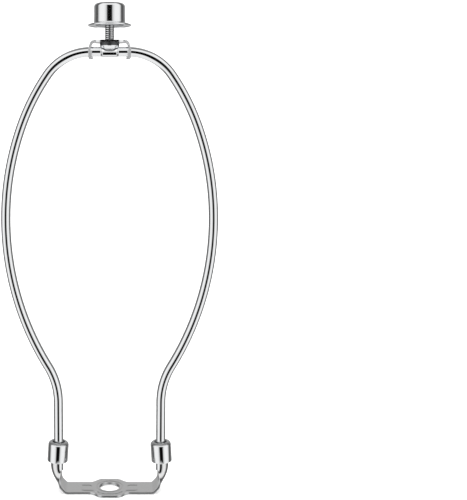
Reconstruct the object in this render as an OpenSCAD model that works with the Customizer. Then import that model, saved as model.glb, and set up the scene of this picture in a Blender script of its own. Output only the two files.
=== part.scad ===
// Lamp harp: a bent steel wire that carries a lamp shade over its bulb.
// The wire's legs stand in the half-round troughs of a stamped saddle, locked there by two sleeves.
// A clip straps the shade's threaded stud to the top of the wire, and a finial screws down on the stud.
// Origin: centre of the nipple hole, in the underside of the saddle. X runs across the harp, Z up.

/* [Wire] */
// Diameter of the harp wire
wire_d = 4.8; // [4:0.1:5.4]
// Half length of the straight stretch at the top
top_half = 9.2; // [9:0.1:12]
// Bend radius of the shoulder, to the wire's centre
shoulder_r = 26; // [20:0.5:32]
// Angle that the shoulder turns
shoulder_angle = 55; // [50:0.5:60]
// Bend radius of the upper side
upper_r = 108; // [90:1:125]
// Angle that the upper side turns
upper_angle = 14.5; // [12:0.5:17]
// Angle that the widest stretch turns
side_angle = 15.5; // [13:0.5:18]
// Bend radius of the neck, where the wire turns down into its leg
neck_r = 36; // [28:1:44]
// Angle that the neck turns
neck_angle = 31; // [29:0.5:33]
// Distance from the middle of the harp to the middle of each leg
leg_x = 26.2; // [25:0.1:28]
// Height at which the straight legs begin, above the saddle's underside
leg_top_z = 46.7; // [42:0.1:52]
// Length of the pointed tip at the wire's end
tip_h = 1.4; // [0.6:0.1:2]
// Length of the flattened seat at the top, under the stud's head
seat_l = 9; // [8:0.5:10]
// Width of the flattened seat
seat_w = 6.6; // [5.6:0.1:8]
// Thickness of the flattened seat
seat_t = 2.7; // [2.2:0.1:3.2]
// Length over which the wire swells from round to flat
seat_blend = 2; // [1.4:0.1:2.2]

/* [Harp] */
// Height of the shade's seat above the saddle's underside, the size that a harp is sold by
harp_h = 228.6; // [215:0.1:245]

/* [Saddle] */
// Width of the strip that the saddle is stamped from
strip_w = 12.7; // [11.5:0.1:14]
// Thickness of the strip
strip_t = 1.3; // [1.1:0.05:1.5]
// Diameter of the hole for the lamp's threaded nipple
nipple_hole_d = 10.4; // [9.5:0.1:11]
// Width across the eye around the hole
eye_w = 20.9; // [19:0.1:24]
// Half length of the eye's straight edge
eye_flat = 5; // [3:0.1:6]
// Half length of the eye where it meets the strip
eye_half = 8.6; // [8.2:0.1:10]
// Diameter of the coined seat around the hole
coin_d = 14.2; // [12:0.1:15.5]
// Depth of the coined seat below the strip's face
coin_depth = 0.35; // [0.1:0.05:0.5]
// Height of the pressed rib above the strip's face
rib_h = 0.35; // [0.2:0.05:0.6]
// Half length of the pressed rib
rib_half = 14.2; // [12.5:0.1:17]
// Margin from the edge of the strip to the rib
rib_margin = 1.9; // [1.2:0.1:2.4]
// Width of the slot that divides each end of the rib
rib_slot_w = 3.6; // [2.4:0.1:4]
// Distance from the hole's centre to the round end of the slot
rib_slot_x = 9.2; // [8.6:0.1:10]
// Angle at which the arms rise from the flat
arm_angle = 47; // [42:1:52]
// Radius of the lower bend of an arm, to the middle of the strip
arm_bend_r = 2; // [1.5:0.1:3]
// Length of the straight stretch of an arm
arm_l = 4.6; // [3.5:0.1:6]
// Radius of the upper bend of an arm, to the middle of the strip
arm_sweep_r = 13.5; // [11:0.5:15]
// Half the angle that the trough wraps round the wire
trough_wrap_angle = 100; // [85:1:105]
// Height of the trough's top above the saddle's underside
trough_top_z = 24.4; // [22.5:0.1:27]

/* [Sleeves] */
// Outside diameter of a locking sleeve
sleeve_d = 10.6; // [10.2:0.1:12]
// Height of a locking sleeve
sleeve_h = 10.2; // [8.5:0.1:12]
// Wall of a locking sleeve
sleeve_wall = 0.9; // [0.6:0.05:1]
// Radius of the round shoulder of a sleeve
sleeve_round_r = 1.7; // [1.1:0.1:2.1]
// Clearance of the sleeve's top hole around the wire, each side
sleeve_hole_gap = 0.75; // [0.5:0.05:0.9]
// Tilt of a sleeve, its lower end pushed outward by the trough
sleeve_tilt = 3.6; // [1:0.1:4]

/* [Shade clip] */
// Width of the clip across the harp, over its ears
clip_w = 20.9; // [19.5:0.1:25]
// Depth of the clip from front to back
clip_d = 10; // [8.6:0.1:14]
// Thickness of the clip's strip
clip_t = 1.3; // [1:0.05:1.6]
// Outside radius of the clip's shoulders
clip_r = 2.4; // [1.8:0.1:3]
// Length of the ears below the middle of the wire
ear_drop = 3.4; // [2.8:0.1:4.5]
// Length of the foot at the end of each ear
foot_l = 1; // [0.5:0.1:1.5]
// Height of that foot
foot_h = 1.2; // [0.8:0.1:1.6]

/* [Stud and finial] */
// Outside diameter of the stud's thread
stud_d = 4.6; // [4:0.1:5.2]
// Diameter of the stud's round head
head_d = 9.5; // [8.5:0.1:10.5]
// Height of the stud's round head
head_h = 3.6; // [3:0.1:4.2]
// Diameter of the flat at the bottom of the round head
head_flat_d = 4.4; // [3.4:0.1:5]
// Gap between the shade's seat and the finial as the photo shows it
finial_gap = 6.9; // [5.5:0.1:8]
// Diameter of the finial over its rolled brim
brim_d = 21.3; // [19.5:0.1:24]
// Thickness of the rolled brim
brim_t = 2; // [1.6:0.1:2.4]
// Diameter of the finial's body
cap_d = 15.3; // [14:0.1:16.5]
// Height of the finial from its underside to its top
cap_h = 11; // [10:0.1:13]
// Radius of the finial's top edge
cap_round_r = 1.9; // [1.2:0.1:3]
// Wall of the drawn finial cap
cap_wall = 0.8; // [0.5:0.05:1]
// Radius where the finial's body turns out into its brim
cap_fillet_r = 0.7; // [0.4:0.1:0.9]
// Height of the threaded hub inside the cap
hub_h = 8.6; // [7:0.1:9]

/* [Fits] */
// Gap all round between the wire and the troughs
trough_gap = 0.4; // [0.2:0.05:0.5]
// Gap between the leg and the arm where the arm's bend comes nearest to it
leg_gap = 0.05; // [0.03:0.01:0.1]
// Gap all round between the wire and the slots of the clip
clip_gap = 0.15; // [0.1:0.05:0.3]
// Gap between the stud's head and the flattened seat
head_gap = 0.2; // [0.1:0.05:0.3]
// Gap all round between the stud and the hole in the clip
stud_gap = 0.15; // [0.1:0.05:0.3]
// Running gap all round between the stud and the finial's hub
thread_gap = 0.05; // [0.02:0.01:0.1]
// Gap between the top of a trough and the shoulder of its sleeve
sleeve_seat_gap = 0.3; // [0.2:0.05:0.5]
// Gap left above the stud when the finial is screwed right down to the shade's seat
stud_end_gap = 0.2; // [0.1:0.1:1]

/* [Hidden] */
$fn = 64;
STEEL = "#c9ccce";
SATIN = "#a9abad";
wire_r = wire_d / 2;
strip_steps = 18;
trough_steps = 16;
blend_steps = 6;
wire_sides = 24;
overlap = 0.3;
stud_l = cap_h - cap_wall - stud_end_gap;

// Heights at the top of the harp, counted down from the shade's seat
clip_under_z = harp_h - clip_t;
seat_top_z = clip_under_z - head_h - head_gap;
top_z = seat_top_z - seat_t + wire_r;

// The angles that the wire has turned at the end of its first three bends, and the angle of its lower side
turned_1 = shoulder_angle;
turned_2 = turned_1 + upper_angle;
turned_3 = turned_2 + side_angle;
lower_angle = 90 + neck_angle - turned_3;

// The two radii of the side close the curve: together they lead from the upper side to the top of the leg
go_x = leg_x - top_half - shoulder_r * sin(turned_1) - upper_r * (sin(turned_2) - sin(turned_1))
    + neck_r * (1 - cos(neck_angle));
go_z = top_z - leg_top_z - shoulder_r * (1 - cos(turned_1)) - upper_r * (cos(turned_1) - cos(turned_2))
    - neck_r * sin(neck_angle);
side_x = sin(turned_3) - sin(turned_2);
side_z = cos(turned_2) - cos(turned_3);
lower_x = cos(neck_angle) - sin(turned_3);
lower_z = cos(turned_3) + sin(neck_angle);
side_r = (go_x * lower_z - go_z * lower_x) / (side_x * lower_z - lower_x * side_z);
lower_r = (go_z * side_x - go_x * side_z) / (side_x * lower_z - lower_x * side_z);

// One bend of the wire: [radius, angle, direction], where direction 1 turns clockwise, seen from the front
BENDS = [
    [shoulder_r, shoulder_angle, 1],
    [upper_r, upper_angle, 1],
    [side_r, side_angle, 1],
    [lower_r, lower_angle, 1],
    [neck_r, neck_angle, -1]
];

// Where a bend starts: [x, z, heading], with the wire followed from the middle of the top
function centre_of(s, b) = [s.x + b[2] * b[0] * sin(s.z), s.y - b[2] * b[0] * cos(s.z)];
function after(s, b) =
    let (c = centre_of(s, b), h = s.z - b[2] * b[1])
    [c.x - b[2] * b[0] * sin(h), c.y + b[2] * b[0] * cos(h), h];
function start_of(i) = i == 0 ? [top_half, top_z, 0] : after(start_of(i - 1), BENDS[i - 1]);

// The trough is concentric with the leg, and the arms and the flat of the saddle follow from it
trough_r = wire_r + trough_gap + strip_t / 2;
arm_x = leg_x + trough_r;
flat_half = arm_x - arm_bend_r * sin(arm_angle) - arm_l * cos(arm_angle) - arm_sweep_r * (1 - sin(arm_angle));

// Lengths along the middle of an arm's strip
bend_s = arm_bend_r * arm_angle * PI / 180;
rise_s = bend_s + arm_l;
sweep_s = rise_s + arm_sweep_r * (90 - arm_angle) * PI / 180;
bend_end = [flat_half + arm_bend_r * sin(arm_angle), strip_t / 2 + arm_bend_r * (1 - cos(arm_angle))];
rise_end = bend_end + arm_l * [cos(arm_angle), sin(arm_angle)];
sweep_top_z = rise_end.y + arm_sweep_r * cos(arm_angle);
arm_s = sweep_s + trough_top_z - sweep_top_z;
wire_end_z = sweep_top_z - sqrt(2 * arm_sweep_r * (trough_gap - leg_gap)) - tip_h;
roll_start_s = bend_s + arm_l / 2;
roll_end_s = sweep_s;
trough_w = 2 * trough_r * trough_wrap_angle * PI / 180;

// The middle of an arm's strip at the length s: [x, z, heading]
function arm_point(s) =
    s < 0 ? [flat_half + s, strip_t / 2, 0]
    : s < bend_s ? let (h = arm_angle * s / bend_s)
        [flat_half + arm_bend_r * sin(h), strip_t / 2 + arm_bend_r * (1 - cos(h)), h]
    : s < rise_s ? let (p = bend_end + (s - bend_s) * [cos(arm_angle), sin(arm_angle)]) [p.x, p.y, arm_angle]
    : s < sweep_s ? let (h = arm_angle + (s - rise_s) / arm_sweep_r * 180 / PI)
        [rise_end.x + arm_sweep_r * (sin(h) - sin(arm_angle)),
            rise_end.y + arm_sweep_r * (cos(arm_angle) - cos(h)), h]
    : [arm_x, sweep_top_z + s - sweep_s, 90];

// How far the strip has rolled up at the length s, from 0 where it is flat to 1 in the trough
function smooth(t) = t * t * (3 - 2 * t);
function rolled(s) = smooth(min(1, max(0, (s - roll_start_s) / (roll_end_s - roll_start_s))));

// Width of the flat strip at the distance x from the hole
function eye_width(x) = x >= eye_half ? strip_w
    : eye_w + (strip_w - eye_w) * (x - eye_flat) / (eye_half - eye_flat);

// The outline of the strip at the length s: the outer face from front to back, then the inner face
function strip_ring(s) =
    let (
        p = arm_point(s),
        q = rolled(s),
        half_a = trough_wrap_angle * q,
        w = s < 0 ? eye_width(p.x) : strip_w + (trough_w - strip_w) * q,
        r = q == 0 ? 0 : w / 2 / (half_a * PI / 180),
        across = [for (j = [0 : trough_steps]) 2 * j / trough_steps - 1],
        outer = [for (c = across) [c, strip_t / 2]],
        inner = [for (j = [trough_steps : -1 : 0]) [across[j], -strip_t / 2]]
    )
    [for (c = concat(outer, inner))
        let (
            a = half_a * c[0],
            n = q == 0 ? -c[1] : r - (r + c[1]) * cos(a),
            y = q == 0 ? c[0] * w / 2 : (r + c[1]) * sin(a)
        )
        [p.x - n * sin(p.z), y, p.y + n * cos(p.z)]];

// The wire's centre line from the middle of the top down to the leg's tip, as [x, z, heading]
function bend_points(i) =
    let (s = start_of(i), b = BENDS[i], steps = ceil(b[1] / 4 + b[0] * b[1] / 700))
    [for (k = [1 : steps]) after(s, [b[0], b[1] * k / steps, b[2]])];
WIRE_LINE = concat(
    [for (k = [0 : blend_steps]) [seat_l / 2 + seat_blend * k / blend_steps, top_z, 0]],
    [[top_half, top_z, 0]],
    [for (i = [0 : len(BENDS) - 1]) each bend_points(i)],
    [[leg_x, wire_end_z + tip_h, -90], [leg_x, wire_end_z, -90]]
);

// The wire's section at a point of its centre line: round, but flat with round edges on the seat
function wire_ring(p) =
    let (
        f = p.z == 0 ? 1 - smooth(min(1, max(0, (p.x - seat_l / 2) / seat_blend))) : 0,
        r = p.y == wire_end_z ? wire_r - tip_h : wire_r + (seat_t / 2 - wire_r) * f,
        flat_y = (seat_w / 2 - seat_t / 2) * f,
        drop = (wire_r - seat_t / 2) * f
    )
    [for (k = [0 : wire_sides - 1])
        let (a = 360 * (k + 0.5) / wire_sides, y = r * cos(a) + flat_y * sign(cos(a)), n = r * sin(a) - drop)
        [p.x - n * sin(p.z), y, p.y + n * cos(p.z)]];

// A solid skinned over a list of rings, each with the same number of points, and its two end faces
module skin(rings, end_faces) {
    n = len(rings[0]);
    last = len(rings) - 1;
    sides = [for (k = [0 : last - 1], j = [0 : n - 1])
        let (a = k * n + j, b = k * n + (j + 1) % n)
        each [[a, b, b + n], [a, b + n, a + n]]];
    caps = concat(end_faces, [for (f = end_faces) [for (i = [len(f) - 1 : -1 : 0]) last * n + f[i]]]);
    polyhedron(points = [for (r = rings) each r], faces = concat(sides, caps), convexity = 6);
}

// The wire is one bent rod, from the tip of one leg over the top to the tip of the other
module harp_wire() {
    right = [for (p = WIRE_LINE) wire_ring(p)];
    left = [for (i = [len(right) - 1 : -1 : 0]) [for (k = [0 : wire_sides - 1])
        let (c = right[i][k]) [-c.x, c.y, c.z]]];
    color(STEEL) skin(concat(left, right), [[for (k = [wire_sides - 1 : -1 : 0]) k]]);
}

// The rib's outline, which keeps its margin inside the strip's edges and widens round the hole with them
module rib_outline() {
    w = strip_w / 2 - rib_margin;
    e = eye_w / 2 - rib_margin;
    flat = eye_flat - rib_margin / 2;
    wide = eye_half - rib_margin / 2;
    polygon([
        [-rib_half, -w], [-wide, -w], [-flat, -e], [flat, -e], [wide, -w], [rib_half, -w],
        [rib_half, w], [wide, w], [flat, e], [-flat, e], [-wide, w], [-rib_half, w]
    ]);
}

// The slot that divides one end of the rib, with a round inner end
module rib_slot() {
    translate([rib_slot_x + rib_slot_w / 2, 0]) circle(d = rib_slot_w);
    translate([rib_slot_x + rib_slot_w / 2, -rib_slot_w / 2]) square([rib_half, rib_slot_w]);
}

// The saddle's strip from the tip of one trough to the other: flat round the hole, then each arm bends
// up, and its edges roll inward until it is a half-round trough
module strip() {
    flat = [for (x = [eye_flat, eye_half, flat_half]) x - flat_half];
    bend = [bend_s / 3, 2 * bend_s / 3, bend_s];
    roll = [for (i = [0 : strip_steps]) roll_start_s + (roll_end_s - roll_start_s) * i / strip_steps];
    right = [for (s = concat(flat, bend, roll, [arm_s])) strip_ring(s)];
    n = len(right[0]);
    half = n / 2;
    left = [for (i = [len(right) - 1 : -1 : 0]) [for (k = [0 : n - 1])
        let (c = right[i][k]) [-c.x, c.y, c.z]]];
    end_faces = [for (j = [0 : half - 2]) each [[j, j + 1, n - 2 - j], [j, n - 2 - j, n - 1 - j]]];
    skin(concat(left, right), end_faces);
}

module rib() {
    translate([0, 0, strip_t - overlap]) linear_extrude(rib_h + overlap) difference() {
        rib_outline();
        rib_slot();
        mirror([1, 0, 0]) rib_slot();
    }
}

module saddle() {
    color(SATIN) difference() {
        union() {
            strip();
            rib();
        }
        translate([0, 0, -overlap]) cylinder(d = nipple_hole_d, h = strip_t + rib_h + 2 * overlap);
        translate([0, 0, strip_t - coin_depth]) cylinder(d = coin_d, h = coin_depth + rib_h + overlap);
    }
}

// Half the section of a round block whose top edge is rounded, from which a sleeve or a cap is cut
module round_block(r, h, round_r) {
    square([r, h - round_r]);
    square([r - round_r, h]);
    translate([r - round_r, h - round_r]) circle(r = round_r);
}

module sleeve_body() {
    r = sleeve_d / 2;
    hole_r = wire_r + sleeve_hole_gap;
    rotate_extrude() difference() {
        round_block(r, sleeve_h, sleeve_round_r);
        translate([0, -sleeve_wall]) round_block(r - sleeve_wall, sleeve_h, sleeve_round_r - sleeve_wall);
        square([hole_r, sleeve_h + overlap]);
    }
}

// A sleeve hangs on the trough's top by its shoulder, and the trough pushes its lower end outward
module sleeve(side) {
    shoulder_z = trough_top_z + sleeve_seat_gap + trough_r * sin(sleeve_tilt);
    color(STEEL) scale([side, 1, 1]) translate([leg_x, 0, shoulder_z]) rotate([0, -sleeve_tilt, 0])
        translate([0, 0, sleeve_wall - sleeve_h]) sleeve_body();
}

module sleeve_left() {
    sleeve(-1);
}

module sleeve_right() {
    sleeve(1);
}

// The clip's strip, bent down at both ends, seen from the front
module clip_profile() {
    half = clip_w / 2;
    drop = harp_h - top_z + ear_drop;
    difference() {
        translate([0, harp_h - drop]) round_block(half, drop, clip_r);
        translate([0, harp_h - drop - clip_t]) round_block(half - clip_t, drop, clip_r - clip_t);
    }
    translate([half - clip_t - foot_l, harp_h - drop]) square([foot_l + overlap, foot_h]);
}

module clip_half() {
    slot_w = wire_d + 2 * clip_gap;
    ear_z = top_z - ear_drop;
    difference() {
        translate([0, clip_d / 2, 0]) rotate([90, 0, 0]) linear_extrude(clip_d) clip_profile();
        translate([0, -slot_w / 2, ear_z - overlap]) cube([clip_w, slot_w, ear_drop + overlap]);
        translate([0, 0, top_z]) rotate([0, 90, 0]) cylinder(d = slot_w, h = clip_w);
    }
}

module top_clip() {
    color(STEEL) difference() {
        union() {
            clip_half();
            mirror([1, 0, 0]) clip_half();
        }
        translate([0, 0, clip_under_z - overlap])
            cylinder(d = stud_d + 2 * stud_gap, h = clip_t + 2 * overlap);
    }
}

// The stud's head is round underneath and flat above, where it bears on the clip
module stud() {
    // Radius of the ball that passes through the edge of the head and the edge of its bottom flat
    edge_r = head_d / 2;
    flat_r = head_flat_d / 2;
    up = (edge_r * edge_r - flat_r * flat_r + head_h * head_h) / (2 * head_h);
    ball_r = sqrt(flat_r * flat_r + up * up);
    color(STEEL) {
        translate([0, 0, clip_under_z - head_h]) rotate_extrude() intersection() {
            square([edge_r, head_h]);
            translate([0, up]) circle(r = ball_r);
        }
        translate([0, 0, clip_under_z - overlap]) cylinder(d = stud_d, h = clip_t + stud_l + overlap);
    }
}

module finial_cap() {
    base_z = harp_h + finial_gap;
    r = cap_d / 2;
    brim_r = brim_t / 2;
    brim_x = brim_d / 2 - brim_r;
    color(STEEL) translate([0, 0, base_z]) rotate_extrude() {
        difference() {
            round_block(r, cap_h, cap_round_r);
            round_block(r - cap_wall, cap_h - cap_wall, cap_round_r - cap_wall);
        }
        translate([r - cap_wall, brim_t - cap_wall]) square([brim_x - r + cap_wall, cap_wall]);
        difference() {
            translate([r - cap_wall, brim_t - cap_wall]) square(cap_wall + cap_fillet_r);
            translate([r + cap_fillet_r, brim_t + cap_fillet_r]) circle(r = cap_fillet_r);
        }
        translate([brim_x, brim_r]) circle(r = brim_r);
    }
}

module finial_hub() {
    color(STEEL) translate([0, 0, harp_h + finial_gap]) difference() {
        cylinder(r = cap_d / 2 - cap_wall, h = hub_h);
        translate([0, 0, -overlap]) cylinder(d = stud_d + 2 * thread_gap, h = hub_h + 2 * overlap);
    }
}

saddle();
harp_wire();
sleeve_left();
sleeve_right();
top_clip();
stud();
finial_cap();
finial_hub();
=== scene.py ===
from math import asin, ceil, copysign, cos, degrees, hypot, pi, radians, sin

import bmesh
import bpy
from bpy.props import FloatProperty, FloatVectorProperty, IntProperty, PointerProperty
from mathutils import Euler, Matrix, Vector


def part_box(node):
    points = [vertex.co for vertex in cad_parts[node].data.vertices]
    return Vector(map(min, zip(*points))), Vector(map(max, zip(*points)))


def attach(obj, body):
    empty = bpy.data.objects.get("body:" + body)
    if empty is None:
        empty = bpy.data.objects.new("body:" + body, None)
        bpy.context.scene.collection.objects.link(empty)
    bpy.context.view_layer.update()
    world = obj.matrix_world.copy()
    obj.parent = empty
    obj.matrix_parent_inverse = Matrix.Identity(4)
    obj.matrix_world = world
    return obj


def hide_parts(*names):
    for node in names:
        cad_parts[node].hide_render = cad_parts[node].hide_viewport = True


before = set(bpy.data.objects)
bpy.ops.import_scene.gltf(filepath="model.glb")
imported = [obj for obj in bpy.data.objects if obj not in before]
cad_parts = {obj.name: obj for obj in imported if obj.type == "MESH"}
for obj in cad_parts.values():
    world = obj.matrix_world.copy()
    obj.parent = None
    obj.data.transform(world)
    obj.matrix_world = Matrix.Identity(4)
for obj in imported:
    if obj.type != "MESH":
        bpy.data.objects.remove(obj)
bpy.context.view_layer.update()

bl_info = {
    "name": "Lamp harp",
    "version": (1, 0, 0),
    "blender": (4, 5, 0),
    "location": "3D View > Sidebar > Lamp harp",
    "description": "Dresses the CAD model of a lamp harp: wire, saddle, sleeves, clip, stud and finial",
    "category": "Object",
}

MM = 0.001
# How far a cutting tool reaches past the piece
PAST = 1 * MM


# Properties: lengths are given in millimetres and kept in metres, as Blender does

def length(name, description, mm):
    return FloatProperty(
        name=name, description=description, default=mm * MM, min=0.0, precision=5,
        unit="LENGTH", subtype="DISTANCE",
    )


def angle(name, description, turn):
    return FloatProperty(
        name=name, description=description, default=radians(turn),
        unit="ROTATION", subtype="ANGLE",
    )


def linear(code):
    """The linear colour of an sRGB hex code."""
    values = [int(code[i:i + 2], 16) / 255 for i in (1, 3, 5)]
    return [v / 12.92 if v <= 0.04045 else ((v + 0.055) / 1.055) ** 2.4 for v in values]


def number(name, description, value):
    return FloatProperty(name=name, description=description, default=value, precision=4)


def colour(name, description, code):
    return FloatVectorProperty(
        name=name, description=description, default=linear(code), min=0.0, max=1.0,
        size=3, subtype="COLOR",
    )


class HarpWireSizes(bpy.types.PropertyGroup):
    diameter: length("Diameter", "Diameter of the harp wire", 4.8)
    top_half: length("Top", "Half length of the straight top", 9.2)
    shoulder_r: length("Shoulder radius", "Bend radius of the shoulder", 26)
    shoulder_angle: angle("Shoulder angle", "Turn of the shoulder", 55)
    upper_r: length("Upper radius", "Bend radius of the upper side", 108)
    upper_angle: angle("Upper angle", "Turn of the upper side", 14.5)
    side_angle: angle("Side angle", "Turn of the widest stretch", 15.5)
    neck_r: length("Neck radius", "Bend radius above the leg", 36)
    neck_angle: angle("Neck angle", "Turn of the neck", 31)
    leg_x: length("Leg distance", "Distance from the middle to a leg", 26.2)
    leg_top_z: length("Leg height", "Height of the straight legs' top", 46.7)
    tip_h: length("Tip", "Length of the wire's pointed tip", 1.4)
    seat_l: length("Seat length", "Length of the seat under the stud", 6.6)
    seat_w: length("Seat width", "Width of the flattened seat", 6.6)
    seat_t: length("Seat thickness", "Thickness of the flattened seat", 2.7)
    seat_blend: length("Seat blend", "Length over which the wire goes flat", 1.2)
    seat_square: number("Seat square", "How far the press squares the seat's edges, from 0 to 1", 0.35)
    ring_gap: length("Ring spacing", "Spacing of the wire's mesh rings", 1.0)
    sides: IntProperty(name="Sides", description="Sides of the wire's mesh", default=64, min=12)


class HarpSaddleSizes(bpy.types.PropertyGroup):
    strip_w: length("Strip width", "Width of the stamped strip", 12.7)
    strip_t: length("Strip thickness", "Thickness of the strip", 1.3)
    edge_r: length("Edge radius", "Radius of the strip's long edges", 0.15)
    hole_d: length("Nipple hole", "Diameter of the hole for the nipple", 10.4)
    eye_w: length("Eye width", "Width across the eye round the hole", 20.9)
    eye_flat: length("Eye flat", "Half length of the eye's straight edge", 5)
    eye_half: length("Eye half length", "Half length of the eye where it meets the strip", 8.6)
    eye_near: number("Inner blend", "Share of the eye's slant that the inner corner rounds off", 0.45)
    eye_far: number("Outer blend", "Share of the eye's slant that the outer corner rounds off", 0.5)
    groove_d: length("Groove", "Diameter of the pressed groove round the hole", 13.2)
    groove_w: length("Groove width", "Width of that groove", 0.9)
    groove_depth: length("Groove depth", "Depth of that groove", 0.3)
    rib_h: length("Rib height", "Height of the pressed rib", 0.34)
    rib_half: length("Rib half length", "Half length of the pressed rib", 14.2)
    rib_margin: length("Rib margin", "Margin from the strip's edge to the rib", 1.9)
    rib_wall: length("Rib wall", "Width of the rib's sloping wall", 0.5)
    rib_corner_r: length("Rib corner", "Radius of the rib's outer corners", 1.2)
    slot_w: length("Slot width", "Width of the slot in each end of the rib", 3.6)
    slot_x: length("Slot start", "Distance from the centre to the slot", 9.2)
    arm_angle: angle("Arm angle", "Rise of the arms from the flat", 47)
    arm_bend_r: length("Lower bend", "Radius of the lower bend of an arm", 2)
    arm_l: length("Arm length", "Length of the straight part of an arm", 4.6)
    arm_sweep_r: length("Upper bend", "Radius of the upper bend of an arm", 13.5)
    rolled_l: length("Rolled length", "Length of the upper bend that is fully rolled", 3.9)
    trough_gap: length("Trough gap", "Gap between the wire and a trough", 0.4)
    trough_wrap: angle("Trough wrap", "Half the trough's angle round the wire", 100)
    trough_top_z: length("Trough top", "Height of the trough's top", 24.4)
    cell: length("Cell", "Spacing of the flat part's mesh rings", 0.22)
    across: IntProperty(name="Cells across", description="Mesh cells across the strip", default=90)
    arm_rings: IntProperty(name="Arm rings", description="Mesh rings along one arm", default=56)


class HarpSleeveSizes(bpy.types.PropertyGroup):
    diameter: length("Diameter", "Outside diameter of a sleeve", 10.6)
    height: length("Height", "Height of a sleeve", 10.2)
    wall: length("Wall", "Wall of a sleeve", 0.9)
    round_r: length("Shoulder radius", "Radius of a sleeve's round shoulder", 1.7)
    edge_r: length("Edge radius", "Radius of a sleeve's lower edge and its hole's edge", 0.2)
    hole_gap: length("Hole gap", "Gap between the wire and the sleeve's top hole", 0.75)
    tilt: angle("Tilt", "Tilt of a sleeve, its lower end pushed outward", 3.6)
    seat_gap: length("Seat gap", "Gap between a trough's top and its sleeve's shoulder", 0.3)


class HarpClipSizes(bpy.types.PropertyGroup):
    width: length("Width", "Width of the clip over its ears", 20.9)
    depth: length("Depth", "Depth of the plate from front to back", 11)
    thickness: length("Thickness", "Thickness of the clip's strip", 1.1)
    ear_t: length("Ear thickness", "Thickness of the ears' hemmed lower part", 1.8)
    hem_h: length("Hem height", "Height of the hem above the wire's middle", 1.0)
    front_half: length("Front edge", "Half length of the plate's straight front edge", 3.8)
    corner_r: length("Corner radius", "Radius of the plate's corners, seen from above", 4.4)
    ear_w: length("Ear width", "Width of an ear from front to back", 7.0)
    bend_r: length("Shoulder bend", "Bend radius of the clip's shoulders, to the strip's middle", 1.5)
    lean: angle("Ear lean", "Angle that the upper part of an ear leans outward", 18)
    lean_l: length("Leaning length", "Length of the leaning part of an ear", 2.2)
    ear_bend_r: length("Ear bend", "Radius where the ear turns upright", 2)
    ear_drop: length("Ear drop", "Length of the ears below the wire's middle", 3.4)
    foot_l: length("Foot length", "Length of the foot, from the ear's outer face inward", 2.3)
    foot_edge: length("Foot edge", "Radius of the foot's edge", 0.35)
    slot_gap: length("Slot gap", "Gap between the wire and the clip's slots", 0.15)
    edge_r: length("Edge radius", "Radius of the clip's rounded edges", 0.3)


class HarpStudSizes(bpy.types.PropertyGroup):
    diameter: length("Diameter", "Outside diameter of the stud's thread", 4.6)
    hole_gap: length("Hole gap", "Gap between the stud and the clip's hole", 0.15)
    pitch: length("Pitch", "Distance from one thread to the next", 0.94)
    thread_depth: length("Thread depth", "Depth of the thread", 0.26)
    crest: number("Crest", "Share of the pitch that is the thread's flat crest", 0.5)
    flanks: number("Flanks", "Share of the pitch that the thread's two straight flanks take", 0.3)
    chamfer: length("Chamfer", "Length of the chamfer at the stud's top", 0.6)
    head_d: length("Head diameter", "Diameter of the stud's round head", 9.5)
    rod_in: length("Rod start", "Length of the rod inside the head", 0.3)
    head_flat_d: length("Head flat", "Diameter of the flat at the bottom of the head", 4.4)
    band_h: length("Band height", "Height of the head's rough upper band", 1.5)
    bulge: length("Bulge", "How far the head's flank bulges out", 0.35)
    sides: IntProperty(name="Sides", description="Sides of the thread's mesh", default=64)
    steps: IntProperty(name="Steps", description="Mesh steps in one thread", default=10)


class HarpFinialSizes(bpy.types.PropertyGroup):
    gap: length("Gap", "Gap between the shade's seat and the finial", 6.9)
    brim_d: length("Brim diameter", "Diameter over the rolled rim", 21.3)
    rim_r: length("Rim radius", "Radius of the rolled rim", 0.42)
    body_d: length("Body diameter", "Diameter of the finial's body", 15.3)
    height: length("Height", "Height of the finial", 11)
    round_r: length("Top radius", "Radius of the finial's top edge", 1.9)
    wall: length("Wall", "Wall of the drawn cap", 0.8)
    flare_z: length("Flare height", "Height at which the body begins to flare", 5.8)
    flare_r: length("Flare radius", "Radius of the body's flare", 60)
    flare_angle: angle("Flare angle", "Angle that the flare turns before its tight bend", 4)
    neck_r: length("Tight bend", "Radius of the tight bend above the skirt", 0.2)
    skirt_angle: angle("Skirt angle", "Angle of the skirt below level", 23)
    hub_h: length("Hub height", "Height of the threaded hub", 8.6)
    hub_edge: length("Hub edge", "Chamfer of the hub's edges", 0.3)
    bore_gap: length("Bore gap", "Running gap between the stud and the hub", 0.05)


class HarpFinishes(bpy.types.PropertyGroup):
    chrome: colour("Chrome", "Colour of bright chrome plate", "#F2F3F4")
    nickel: colour("Satin nickel", "Colour of satin nickel plate", "#E8E8E8")
    # Also the grey of the sleeves' shoulders
    sheared: colour("Sheared edge", "Colour of a plated sheared edge", "#C4C5C6")
    # Near-black colour painted into the thread's roots as their shade
    root: colour("Thread root", "Colour in the roots of the plated thread", "#18191A")
    # Dark grey of the band round the top of the stud's head, just under the clip's plate
    scale: colour("Scale", "Colour of the scaled band round the stud's head", "#5A5B5C")
    turned: colour("Turned steel", "Colour of the turned hub", "#B9BBBD")
    floor: colour("Floor", "Colour of the studio floor", "#FFFFFF")


class HarpStageSizes(bpy.types.PropertyGroup):
    camera_y: length("Camera distance", "Distance of the camera from the harp", 425)
    camera_z: length("Camera height", "Height of the camera above the floor", 189.895)
    camera_down: angle("Camera tilt", "Angle that the camera looks down", 6)
    lens: number("Lens", "Focal length that gives the photograph's scale", 61.614)
    shift_x: number("Shift across", "Lens shift that puts the harp left of the frame's middle", 0.2478)
    shift_y: number("Shift up", "Lens shift that puts the harp high in the frame", -0.08)
    light: number("Light", "Strength of the tent's light on what isn't shiny", 1.7)
    floor_half: length("Floor", "Half the width of the studio floor", 4000)
    floor_drop: length("Floor gap", "Gap between the saddle and the floor", 0.02)


# Small tools for meshes

def smooth(t):
    """An even step from 0 to 1."""
    t = min(1.0, max(0.0, t))
    return t * t * (3 - 2 * t)


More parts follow.
